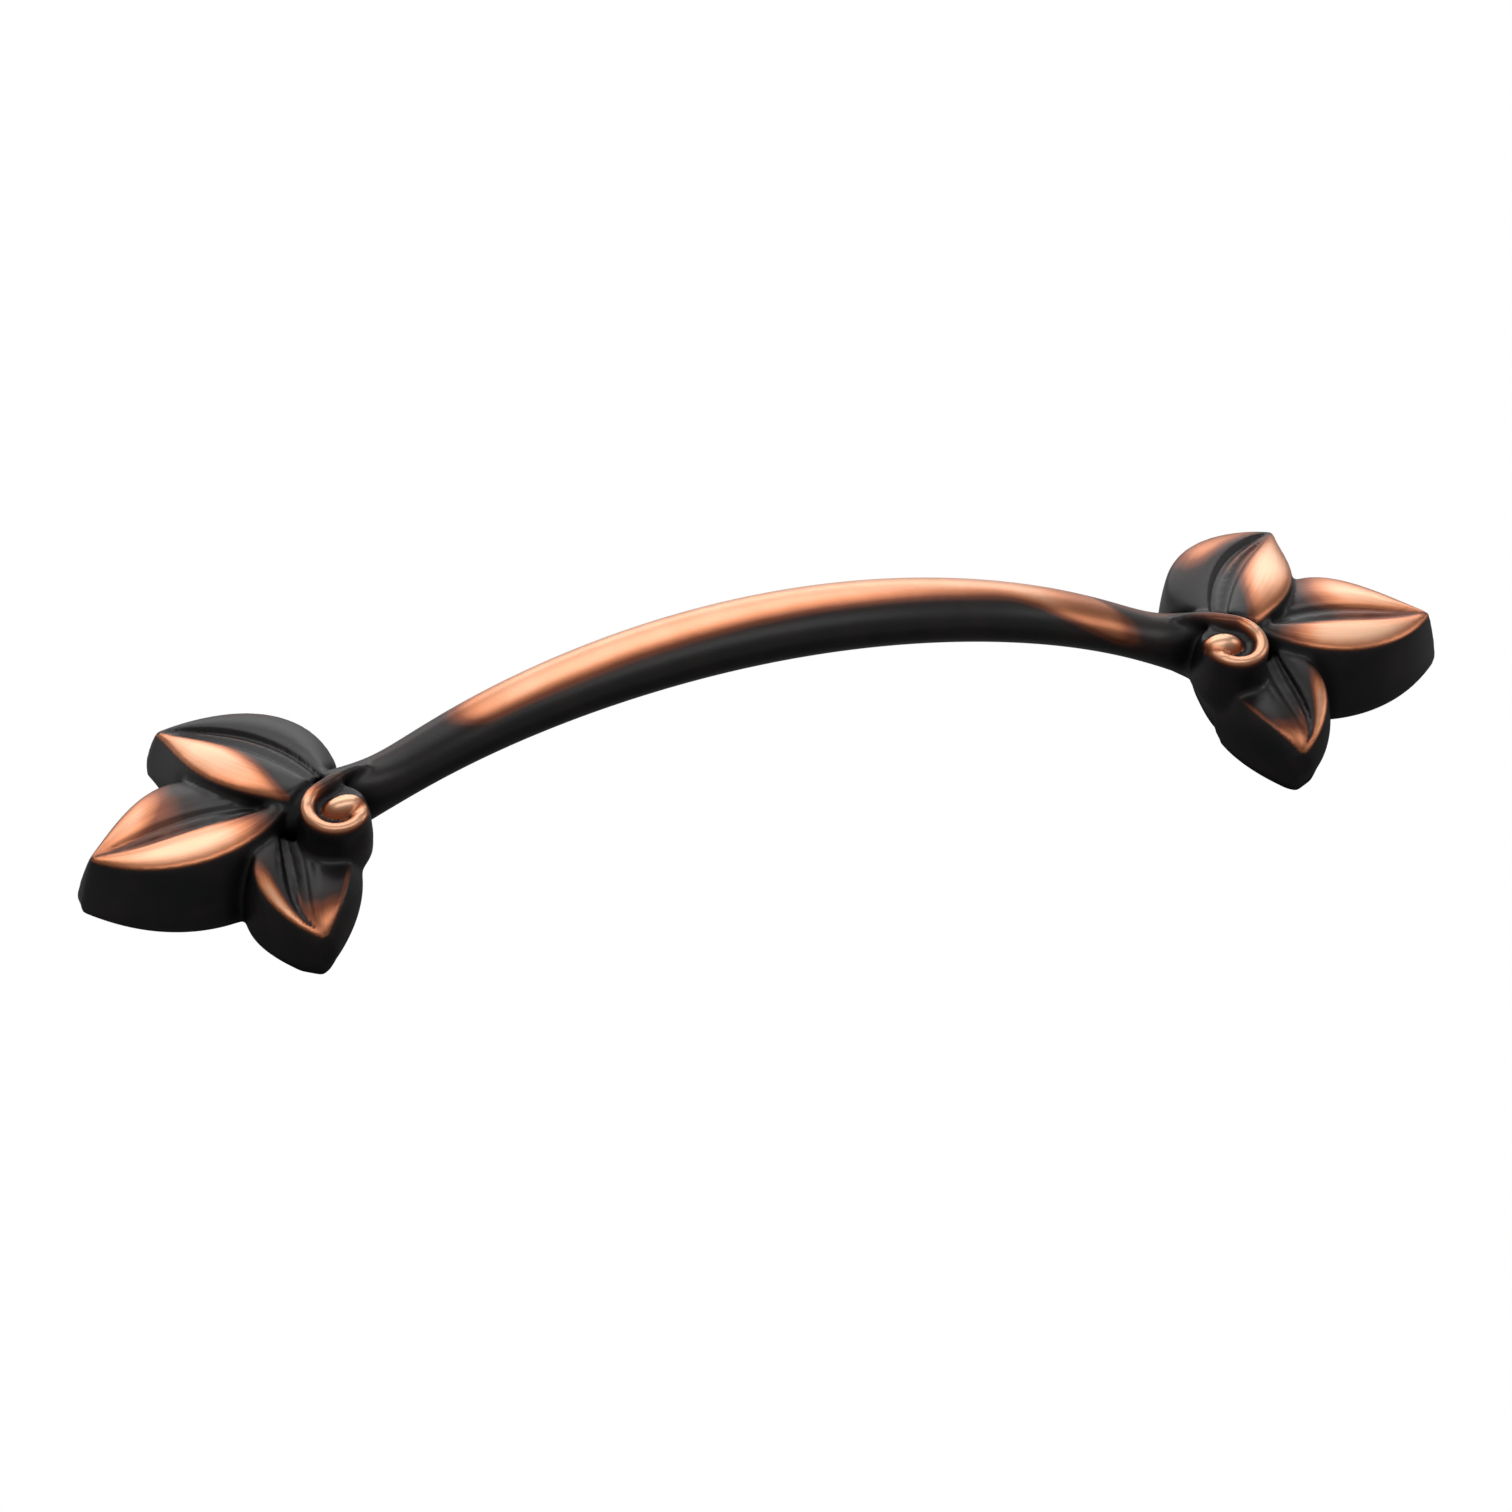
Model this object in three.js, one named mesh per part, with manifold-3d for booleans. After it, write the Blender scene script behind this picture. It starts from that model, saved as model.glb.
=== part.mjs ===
// Leaf shaped drawer pull: one casting with a leaf cluster and a scroll at each end of an arched bar.
// Millimetres. x runs along the bar, y towards the back, z up from the flat mounting faces at z = 0.
// The origin lies on the mounting plane, midway along the bar and under its line.
import * as THREE from "three";
import { mergeVertices } from "three/addons/utils/BufferGeometryUtils.js";
import Module from "manifold-3d";

const wasm = await Module();
wasm.setup();

// Layout of the two ends
const scrollSpacing = 92; // between the two ends' scrolls, from which each end is laid out
const barSetback = 2.75; // the bar's line lies this far behind the scrolls

// Screw holes, tapped M4, on the bar's line
const holeOut = 2; // each hole lies this far outside its scroll, which puts the pair 96 apart
const holeDiameter = 3.3; // drilled size of the thread
const holeDepth = 7.5;

// The bar: an oval section that thins towards both ends of an arch
const barHalfLength = scrollSpacing / 2; // the bar runs into both scrolls
const barCrownHeight = 20.3; // height of the section's centre at mid span
const barFall = 16.6; // how far the centre would drop by the ends of the bar
const barShoulder = 0.15; // share of the fall that comes late, which squares the arch
const barWidth = 7.8;
const barEndWidth = 5.1;
const barThickness = 5.2;
const barEndThickness = 3.3;
const barFullness = 2.2; // 2 is an ellipse, more is squarer
const ridgeHeight = 10.8; // the bar's top flattens out at this height, level with the scroll
const ridgeSoftness = 0.9; // how gently it does so

// The leaves. Every point is [out, back, up]: out from the scroll eye along the bar's line, back towards
// +y, and up from the mounting plane. Each edge and vein is one cubic curve from root to tip.
// Each wall stands proud of its edge by a bulge halfway down and a foot near the back of the casting.
// A blunt foot stops this share of the edges short of the tip, which rounds the tip's wall off.
const backLeaf = {
  tip: [12.35, 18.0, 5.1],
  vein: [[0.8, 3.3, 10.0], [3.7, 11.3, 8.8], [8.75, 14.6, 7.2]],
  nearEdge: [[3.9, 1.0, 10.4], [12.5, 6.4, 9.3], [11.6, 11.9, 7.2]],
  farEdge: [[-2.6, 7.2, 7.4], [-2.35, 15.4, 8.5], [5.4, 18.2, 7.7]],
  crown: 0.9,
  nearWall: { bulge: 0.6, foot: 0.7 },
  farWall: { bulge: 0.3, foot: 0.2 },
  tipWall: { bulge: 0.6, foot: 0.8 },
  footBlunt: 0,
};
const outerLeaf = {
  tip: [23.1, 2.1, 6.1],
  vein: [[5.4, 1.8, 8.2], [12.7, 4.0, 7.4], [18.0, 2.1, 6.8]],
  nearEdge: [[3.1, 2.0, 9.7], [9.0, -4.8, 8.8], [18.4, -4.0, 7.6]],
  farEdge: [[8.7, 8.5, 6.2], [14.1, 13.1, 6.1], [18.9, 7.7, 6.1]],
  crown: 0.8,
  nearWall: { bulge: 1.3, foot: 1.8 },
  farWall: { bulge: 0.4, foot: 0.4 },
  tipWall: { bulge: 0.6, foot: 1.0 },
  footBlunt: 0,
};
const frontLeaf = {
  tip: [4.2, -12.8, 5.6],
  vein: [[5.2, -1.2, 7.5], [4.6, -6.7, 6.6], [6.9, -10.7, 6.3]],
  nearEdge: [[-0.8, -4.1, 7.3], [-0.2, -7.8, 8.0], [2.2, -11.6, 7.8]],
  farEdge: [[6.2, -1.2, 7.8], [11.6, -3.2, 8.0], [8.6, -10.6, 6.3]],
  crown: 0.5,
  nearWall: { bulge: 1.2, foot: 0.3 },
  farWall: { bulge: 0.7, foot: 0.9 },
  tipWall: { bulge: 0.5, foot: -0.2 },
  footBlunt: 0.13,
};
const lobeLean = 0.85; // below 1 the relief's crown lies nearer the vein
const lobeFullness = 0.8; // below 1 the crown is broader
const tipHalfWidth = 0.4; // the tips are blunt
const tipFade = 0.82; // how far the relief fades by the tip: 1 would leave none
const aimLimit = 0.9; // near the tip, an edge's outer side is told from this share of the vein
const tipLead = 0.4; // how far the corners of a tip follow its wall forwards
const wallLate = 2; // the walls take on the tip's form along the leaf: the higher, the later
const tipWidenLate = 4; // the same for the tip's own width
const tipTurnLate = 8; // and for the turn of the wall from sideways to straight ahead
const baseRound = 0.7; // height at which the walls turn in to the flat back
const baseSlope = 0.35; // how far they turn in for each millimetre down
const veinRise = 0.2; // the vein stands above the line of the leaf's middle
const grooveDepth = 0.45; // the groove on each side of the vein
const grooveShare = 0.16; // where the groove lies between vein and edge
const grooveReach = 0.09; // how wide it spreads

// The post under the scroll: ovals stacked from the mounting plane to the scroll's floor
const postLevels = [
  { up: 0, out: 3.8, back: 1.2, halfOut: 4.6, halfBack: 7.4 },
  { up: 2.5, out: 2.8, back: 0.3, halfOut: 4.5, halfBack: 6.6 },
  { up: 6, out: 0.3, back: -1.5, halfOut: 3.85, halfBack: 4.0 },
  { up: 8.5, out: 0.15, back: -2.2, halfOut: 3.5, halfBack: 3.5 },
  { up: 11.2, out: 0.15, back: -2.3, halfOut: 3.1, halfBack: 3.15 },
];
const postFullness = 2.5; // 2 is an ellipse, more is squarer

// A rounded heart behind the post, where the leaves and the bar meet
const heartAt = [2.0, 1.4, 7.0];
const heartRadii = [3.0, 3.0, 3.5];

// The scroll: a bead that runs off the bar's ridge, once round, and into a domed eye
const scrollHeight = 11.6; // height of the bead's centre line over the ring's centre
const scrollOut = 0.2; // ring centre, from the eye
const scrollBack = -2.3;
const scrollRadius = 2.82; // bead centre line
const scrollStart = 0.35; // angle past the ring's back at which the bead joins it
const scrollTurn = 1.56 * Math.PI; // from the back of the ring round into the eye
const scrollTighten = 0.12; // how much the radius shrinks over the turn
const scrollTightenLate = 2.5; // the higher, the later it shrinks
const scrollTuck = 0.12; // and how much more at the very end, where the bead runs in under the eye
const scrollTuckLate = 12;
const scrollDive = 1.3; // and how far it sinks there
const scrollDiveLate = 10;
const scrollLeanOut = -0.08; // slope of the scroll's plane
const scrollLeanBack = 0.1;
const beadRadius = 0.76;
const beadStartShare = 0.5; // the bead starts this thin, as a share of its radius
const beadTaper = 0.5; // and is full after this share of its length
const beadDepth = 2.8; // its underside runs this far below its centre line, into the bar and the post
const ridgeStart = [-4.6, 2.9, 11.0]; // where the bead leaves the bar's ridge
const eyeOffset = -0.8; // the eye sits inwards of the ring's centre and meets the ring there
const eyeHalfOut = 2.0;
const eyeHalfBack = 1.3;
const eyeRise = 1.4;
const eyeSink = 0.4; // the dome's centre lies this far below the scroll's plane

// Finish
const copperColour = 0x6b3f2c;
const copperRoughness = 0.42;
const copperMetalness = 0.9;

// Mesh fineness, in segments
const leafAlong = 14;
const leafAcross = 14;
const leafUp = 4;
const barAlong = 40;
const barAround = 22;
const beadAlong = 36;
const beadAround = 8;
const scrollSteps = 14; // points round the ring that its curve runs through
const postAround = 28;
const postUp = 9;
const heartAround = 20;
const heartUp = 10;
const eyeAround = 20;
const eyeUp = 12;
const holeAround = 24;

const sink = 1; // the pieces run this far below the mounting plane before it is cut flat
const mergeGap = 1e-5; // vertices closer than this are one

const up = new THREE.Vector3(0, 0, 1);

// Places a point of an end, given as out, back and up, on side -1 or 1 of the pull.
function endPoint(side, out, back, height) {
  return new THREE.Vector3(side * (scrollSpacing / 2 + out), back - barSetback, height);
}

// Moves every vertex of a three.js geometry with place(x, y, z), which returns a Vector3.
function reshape(geometry, place) {
  const position = geometry.getAttribute("position");
  for (let i = 0; i < position.count; i += 1) {
    const moved = place(position.getX(i), position.getY(i), position.getZ(i));
    position.setXYZ(i, moved.x, moved.y, moved.z);
  }
  return geometry;
}

// Signed volume of an indexed mesh: negative when its faces point inwards.
function signedVolume(points, index) {
  let volume = 0;
  for (let i = 0; i < index.length; i += 3) {
    const [a, b, c] = [0, 1, 2].map((k) => new THREE.Vector3().fromArray(points, 3 * index[i + k]));
    volume += a.dot(b.cross(c)) / 6;
  }
  return volume;
}

// Turns a closed three.js geometry into a solid that can be joined and cut.
function toSolid(geometry) {
  geometry.deleteAttribute("normal");
  geometry.deleteAttribute("uv");
  const merged = mergeVertices(geometry, mergeGap);
  const points = new Float32Array(merged.getAttribute("position").array);
  const index = new Uint32Array(merged.getIndex().array);
  if (signedVolume(points, index) < 0) index.reverse();
  return new wasm.Manifold(new wasm.Mesh({ numProp: 3, vertProperties: points, triVerts: index }));
}

function toGeometry(solid) {
  const mesh = solid.getMesh();
  const geometry = new THREE.BufferGeometry();
  geometry.setAttribute("position", new THREE.BufferAttribute(mesh.vertProperties, 3));
  geometry.setIndex(new THREE.BufferAttribute(mesh.triVerts, 1));
  geometry.computeVertexNormals();
  return geometry;
}

// A bead laid along a curve: round above, deeper below, and thinner at its start.
function beadAlongCurve(curve) {
  const tube = new THREE.CylinderGeometry(1, 1, 1, beadAround, beadAlong);
  return reshape(tube, (x, y, z) => {
    const t = y + 0.5;
    const radius = beadRadius * Math.min(1, beadStartShare + t / beadTaper);
    const ahead = curve.getTangent(t);
    const sideways = new THREE.Vector3().crossVectors(ahead, up).normalize();
    const upwards = new THREE.Vector3().crossVectors(sideways, ahead);
    const rise = z * (z < 0 ? beadDepth : radius);
    return curve.getPoint(t).addScaledVector(sideways, radius * x).addScaledVector(upwards, rise);
  });
}

// Turns a coordinate of the unit circle into one of a fuller, squarer oval.
function squared(value, fullness) {
  return Math.sign(value) * Math.abs(value) ** (2 / fullness);
}

// The bar's upright section at a distance x from mid span: its width, lowest and highest points.
function barSection(x) {
  const share = (x / barHalfLength) ** 2;
  const half = (middle, end) => (middle + (end - middle) * share) / 2;
  const centre = barCrownHeight - barFall * ((1 - barShoulder) * share + barShoulder * share ** 3);
  const slope = (2 * barFall * x * (1 - barShoulder + 3 * barShoulder * share ** 2)) / barHalfLength ** 2;
  const upright = half(barThickness, barEndThickness) * Math.hypot(1, slope);
  const above = (centre + upright - ridgeHeight) / ridgeSoftness;
  const top = ridgeHeight + ridgeSoftness * (Math.max(above, 0) + Math.log1p(Math.exp(-Math.abs(above))));
  return { halfWidth: half(barWidth, barEndWidth), low: centre - upright, high: top };
}

function barSolid() {
  const can = new THREE.CylinderGeometry(1, 1, 1, barAround, barAlong);
  return toSolid(reshape(can, (x, y, z) => {
    const along = 2 * y * barHalfLength;
    const section = barSection(along);
    const middle = (section.high + section.low) / 2;
    const reach = (section.high - section.low) / 2;
    const across = section.halfWidth * squared(x, barFullness);
    return new THREE.Vector3(along, across, middle + reach * squared(z, barFullness));
  }));
}

// Height of a leaf's relief over the straight line from vein (0) to edge (1).
function leafRelief(leaf, share) {
  const lobe = leaf.crown * Math.sin(Math.PI * share ** lobeLean) ** lobeFullness;
  const groove = grooveDepth * Math.exp(-(((share - grooveShare) / grooveReach) ** 2));
  const vein = veinRise * Math.exp(-((share / grooveReach) ** 2));
  return lobe - groove + vein;
}

// A leaf is a grid box laid between its far edge, vein and near edge, with walls down past the base.
function leafSolid(side, leaf) {
  const curve = (points) => new THREE.CubicBezierCurve3(
    ...[...points, leaf.tip].map((point) => new THREE.Vector3(...point)),
  );
  const vein = curve(leaf.vein);
  const edges = { near: curve(leaf.nearEdge), far: curve(leaf.farEdge) };
  const box = new THREE.BoxGeometry(1, 1, 1, leafAlong, leafAcross, leafUp);
  return toSolid(reshape(box, (x, y, z) => {
    const along = x + 0.5;
    const share = Math.abs(2 * y);
    const edge = y < 0 ? edges.near : edges.far;
    const down = 0.5 - z;
    const level = Math.round(down * leafUp);
    const reach = Math.min(1, level / (leafUp - 1));
    const held = along * (1 - leaf.footBlunt * reach);
    const middle = vein.getPoint(along);
    const rim = edge.getPoint(held);
    const run = edge.getTangent(held).setZ(0).normalize();
    const outward = new THREE.Vector3(run.y, -run.x, 0);
    const inner = vein.getPoint(Math.min(along, aimLimit));
    if (outward.dot(rim.clone().sub(inner)) < 0) outward.negate();
    const wall = y < 0 ? leaf.nearWall : leaf.farWall;
    const bulge = THREE.MathUtils.lerp(wall.bulge, leaf.tipWall.bulge, along ** wallLate);
    const foot = THREE.MathUtils.lerp(wall.foot, leaf.tipWall.foot, along ** wallLate);
    const under = level === leafUp;
    const inset = under ? baseSlope * (baseRound + sink) : 0;
    const spread = foot * reach + 4 * reach * (1 - reach) * (bulge - foot / 2);
    const nearTip = along ** tipTurnLate;
    rim.addScaledVector(outward, tipHalfWidth * along ** tipWidenLate + spread - inset * (1 - nearTip));
    const ahead = vein.getTangent(1).setZ(0).normalize();
    rim.addScaledVector(ahead, tipLead * (spread - inset) * nearTip);
    middle.addScaledVector(ahead, (spread - inset + tipHalfWidth) * nearTip);
    const top = middle.lerp(rim, share);
    const fade = Math.sin((Math.PI * (1 - tipFade * along)) / 2);
    top.z += leafRelief(leaf, share) * fade;
    const height = under ? -sink : THREE.MathUtils.lerp(top.z, baseRound, reach);
    return endPoint(side, top.x, top.y, height);
  }));
}

// Height of the scroll's leaning plane at a place of the end.
function scrollPlane(out, back) {
  return scrollHeight + scrollLeanOut * (out - scrollOut) + scrollLeanBack * (back - scrollBack);
}

// The bead's line: from the bar's ridge to the back of the ring, then round it and inwards.
class ScrollLine extends THREE.Curve {
  constructor(side) {
    super();
    const points = [endPoint(side, ...ridgeStart)];
    for (let i = 0; i <= scrollSteps; i += 1) {
      const turned = i / scrollSteps;
      const angle = Math.PI / 2 - scrollStart - turned * (scrollTurn - scrollStart);
      const shrink = scrollTighten * turned ** scrollTightenLate + scrollTuck * turned ** scrollTuckLate;
      const radius = scrollRadius * (1 - shrink);
      const out = scrollOut + radius * Math.cos(angle);
      const back = scrollBack + radius * Math.sin(angle);
      const dive = scrollDive * turned ** scrollDiveLate;
      points.push(endPoint(side, out, back, scrollPlane(out, back) - dive));
    }
    this.line = new THREE.CatmullRomCurve3(points, false, "centripetal");
  }

  getPoint(t, target) {
    return this.line.getPointAt(t, target);
  }
}

function scrollSolid(side) {
  const bead = toSolid(beadAlongCurve(new ScrollLine(side)));
  const eye = new THREE.SphereGeometry(1, eyeAround, eyeUp);
  const dome = toSolid(reshape(eye, (x, y, z) => {
    const out = scrollOut + eyeOffset + eyeHalfOut * x;
    const back = scrollBack + eyeHalfBack * y;
    return endPoint(side, out, back, scrollPlane(out, back) - eyeSink + eyeRise * z);
  }));
  return bead.add(dome);
}

// The post is a cylinder whose rings follow the stacked ovals.
function postSolid(side) {
  const low = postLevels[0].up;
  const high = postLevels[postLevels.length - 1].up;
  const can = new THREE.CylinderGeometry(1, 1, 1, postAround, postUp);
  return toSolid(reshape(can, (x, y, z) => {
    const height = low + (y + 0.5) * (high - low);
    const next = Math.max(1, postLevels.findIndex((level) => level.up >= height - mergeGap));
    const [below, above] = [postLevels[next - 1], postLevels[next]];
    const share = (height - below.up) / (above.up - below.up);
    const mix = (key) => below[key] + (above[key] - below[key]) * share;
    const out = mix("out") + mix("halfOut") * squared(x, postFullness);
    const back = mix("back") + mix("halfBack") * squared(z, postFullness);
    const tilt = (scrollPlane(out, back) - scrollHeight) * ((height - low) / (high - low));
    return endPoint(side, out, back, height > low ? height + tilt : -sink);
  }));
}

function heartSolid(side) {
  const ball = new THREE.SphereGeometry(1, heartAround, heartUp);
  return toSolid(reshape(ball, (...unit) => {
    const [out, back, height] = unit.map((value, axis) => heartAt[axis] + heartRadii[axis] * value);
    return endPoint(side, out, back, height);
  }));
}

// A blind hole from below, on the bar's line.
function holeSolid(side) {
  const radius = holeDiameter / 2;
  const drill = new THREE.CylinderGeometry(radius, radius, holeDepth + sink, holeAround);
  drill.rotateX(Math.PI / 2);
  drill.translate(side * (scrollSpacing / 2 + holeOut), 0, (holeDepth - sink) / 2);
  return toSolid(drill);
}

// A block below the mounting plane, which cuts every back flat.
function belowBase() {
  const block = new THREE.BoxGeometry(2 * scrollSpacing, scrollSpacing, 4 * sink);
  block.translate(0, 0, -2 * sink);
  return toSolid(block);
}

function pullSolid() {
  let solid = barSolid();
  for (const side of [-1, 1]) {
    for (const leaf of [backLeaf, outerLeaf, frontLeaf]) solid = solid.add(leafSolid(side, leaf));
    solid = solid.add(postSolid(side)).add(heartSolid(side)).add(scrollSolid(side));
  }
  solid = solid.subtract(belowBase());
  for (const side of [-1, 1]) solid = solid.subtract(holeSolid(side));
  return solid;
}

const finish = new THREE.MeshStandardMaterial({
  color: copperColour,
  roughness: copperRoughness,
  metalness: copperMetalness,
});

const pull = new THREE.Group();
const casting = new THREE.Mesh(toGeometry(pullSolid()), finish);
casting.name = "pull";
pull.add(casting);

export default pull;
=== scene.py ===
import math

import bmesh
import bpy
from mathutils import Matrix, Vector
from mathutils.bvhtree import BVHTree
from mathutils.interpolate import poly_3d_calc


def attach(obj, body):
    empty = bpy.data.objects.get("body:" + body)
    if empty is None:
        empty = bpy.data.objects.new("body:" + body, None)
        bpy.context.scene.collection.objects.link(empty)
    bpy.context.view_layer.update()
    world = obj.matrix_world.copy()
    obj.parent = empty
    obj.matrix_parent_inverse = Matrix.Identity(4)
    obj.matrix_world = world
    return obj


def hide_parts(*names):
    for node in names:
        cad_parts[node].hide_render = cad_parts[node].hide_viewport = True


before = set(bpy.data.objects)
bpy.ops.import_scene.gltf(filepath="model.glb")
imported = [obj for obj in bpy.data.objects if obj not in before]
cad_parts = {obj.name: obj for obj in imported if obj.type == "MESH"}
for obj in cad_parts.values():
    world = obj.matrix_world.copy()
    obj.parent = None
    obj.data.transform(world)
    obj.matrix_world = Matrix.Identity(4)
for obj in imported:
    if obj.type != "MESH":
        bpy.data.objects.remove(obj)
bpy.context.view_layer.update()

# The pull is modelled in millimetres and brought to metres when it is whole.
# An end's points are out from the scroll eye, back and up from the mounting plane.
mm = 0.001
layout = {"scrollSpacing": 92.0, "barSetback": 2.75, "sink": 1.0}


def endPoint(side, out, back, up):
    return Vector((side * (layout["scrollSpacing"] / 2 + out), back - layout["barSetback"], up))


def lerp(a, b, share):
    return a + (b - a) * share


def clamp(value, low=0.0, high=1.0):
    return max(low, min(high, value))


def smoothStep(low, high, value):
    share = clamp((value - low) / (high - low))
    return share * share * (3 - 2 * share)


def bump(value, centre, reach):
    return math.exp(-(((value - centre) / reach) ** 2))


def cubic(points, t):
    s = 1 - t
    weights = (s ** 3, 3 * s * s * t, 3 * s * t * t, t ** 3)
    return sum((p * w for p, w in zip(points, weights)), Vector((0, 0, 0)))


def cubicRun(points, t):
    s = 1 - t
    a, b, c, d = points
    run = (b - a) * (3 * s * s) + (c - b) * (6 * s * t) + (d - c) * (3 * t * t)
    run.z = 0
    return run.normalized()


def squared(value, fullness):
    return math.copysign(abs(value) ** (2 / fullness), value)


# Each source vertex carries what it belongs to and where it lies on it:
# kind 0 bar, 1 back leaf, 2 outer leaf, 3 front leaf, 4 post and heart, 5 bead, 6 eye.
def newPiece():
    bm = bmesh.new()
    layers = {name: bm.verts.layers.float.new(name) for name in ("kind", "along", "across", "down")}
    return bm, layers


def reshape(bm, layers, place):
    for v in bm.verts:
        point, marks = place(v.co.copy())
        v.co = point
        for name, value in marks.items():
            v[layers[name]] = value


def keepPiece(bm, name):
    bmesh.ops.recalc_face_normals(bm, faces=bm.faces[:])
    mesh = bpy.data.meshes.new(name)
    bm.to_mesh(mesh)
    bm.free()
    return mesh


# A round or oval can along z, from -0.5 to 0.5, with rings of vertices up its wall.
def ringedCan(bm, around, rings):
    bmesh.ops.create_cone(bm, cap_ends=True, segments=around, radius1=1, radius2=1, depth=1)
    upright = [e for e in bm.edges if abs(e.verts[0].co.z - e.verts[1].co.z) > 0.5]
    bmesh.ops.subdivide_edges(bm, edges=upright, cuts=rings - 1)


bar = {
    "halfLength": 46.0, "crownHeight": 20.3, "fall": 16.6, "shoulder": 0.15,
    "width": 7.8, "endWidth": 5.1, "thickness": 5.2, "endThickness": 3.3, "fullness": 2.2,
    "ridgeHeight": 10.8, "ridgeSoftness": 0.9, "around": 72, "rings": 320,
}


# The bar's half width, underside and top at a place along it.
# Where the arch comes down to the ends, the top runs out level as a ridge.
def barSection(x):
    share = (x / bar["halfLength"]) ** 2
    late = bar["shoulder"]
    centre = bar["crownHeight"] - bar["fall"] * ((1 - late) * share + late * share ** 3)
    slope = 2 * bar["fall"] * x * (1 - late + 3 * late * share ** 2) / bar["halfLength"] ** 2
    upright = lerp(bar["thickness"], bar["endThickness"], share) / 2 * math.hypot(1, slope)
    above = (centre + upright - bar["ridgeHeight"]) / bar["ridgeSoftness"]
    eased = max(above, 0) + math.log1p(math.exp(-abs(above)))
    top = bar["ridgeHeight"] + bar["ridgeSoftness"] * eased
    return lerp(bar["width"], bar["endWidth"], share) / 2, centre - upright, top


def makeBar():
    bm, layers = newPiece()
    ringedCan(bm, bar["around"], bar["rings"])

    def place(co):
        along = 2 * co.z * bar["halfLength"]
        halfWidth, low, high = barSection(along)
        y = halfWidth * squared(co.x, bar["fullness"])
        z = (high + low) / 2 + (high - low) / 2 * squared(co.y, bar["fullness"])
        return Vector((along, y, z)), {"kind": 0, "along": along, "across": co.x, "down": co.y}

    reshape(bm, layers, place)
    return keepPiece(bm, "barForm")


# A leaf's vein and edges are cubics that end at its tip.
# A wall is its bulge and how far its foot stands out.
backLeaf = {
    "kind": 1, "tip": (12.35, 18.0, 5.1),
    "vein": ((0.8, 3.3, 10.0), (3.7, 11.3, 8.8), (8.75, 14.6, 7.2)),
    "nearEdge": ((3.9, 1.0, 10.4), (12.5, 6.4, 9.3), (11.6, 11.9, 7.2)),
    "farEdge": ((-2.6, 7.2, 7.4), (-2.35, 15.4, 8.5), (5.4, 18.2, 7.7)),
    "nearWall": (0.6, 0.7), "farWall": (0.3, 0.2), "tipWall": (0.6, 0.8),
    "crown": 0.9, "footBlunt": 0.0,
}
outerLeaf = {
    "kind": 2, "tip": (23.1, 2.1, 6.1),
    "vein": ((5.4, 1.8, 8.2), (12.7, 4.0, 7.4), (18.0, 2.1, 6.8)),
    "nearEdge": ((3.1, 2.0, 9.7), (9.0, -4.8, 8.8), (18.4, -4.0, 7.6)),
    "farEdge": ((8.7, 8.5, 6.2), (14.1, 13.1, 6.1), (18.9, 7.7, 6.1)),
    "nearWall": (1.3, 1.8), "farWall": (0.4, 0.4), "tipWall": (0.6, 1.0),
    "crown": 0.8, "footBlunt": 0.0,
}
frontLeaf = {
    "kind": 3, "tip": (4.2, -12.8, 5.6),
    "vein": ((5.2, -1.2, 7.5), (4.6, -6.7, 6.6), (6.9, -10.7, 6.3)),
    "nearEdge": ((-0.8, -4.1, 7.3), (-0.2, -7.8, 8.0), (2.2, -11.6, 7.8)),
    "farEdge": ((6.2, -1.2, 7.8), (11.6, -3.2, 8.0), (8.6, -10.6, 6.3)),
    "nearWall": (1.2, 0.3), "farWall": (0.7, 0.9), "tipWall": (0.5, -0.2),
    "crown": 0.5, "footBlunt": 0.13,
}
leafForm = {
    "tipHalfWidth": 0.4, "tipWidenLate": 4, "tipLead": 0.4, "tipTurnLate": 8,
    "tipFade": 0.82, "tipSide": 0.9,
    "crownLean": 0.85, "crownFull": 0.8, "wallShare": 0.75, "wallLate": 2,
    "baseRound": 0.7, "baseSlope": 0.35, "cuts": 47,
}


# The rise of each half's crown, from 0 at the vein to 0 at the edge.
def crownRise(leaf, share):
    if not 0 < share < 1:
        return 0
    rise = math.sin(math.pi * share ** leafForm["crownLean"])
    return leaf["crown"] * rise ** leafForm["crownFull"]


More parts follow.
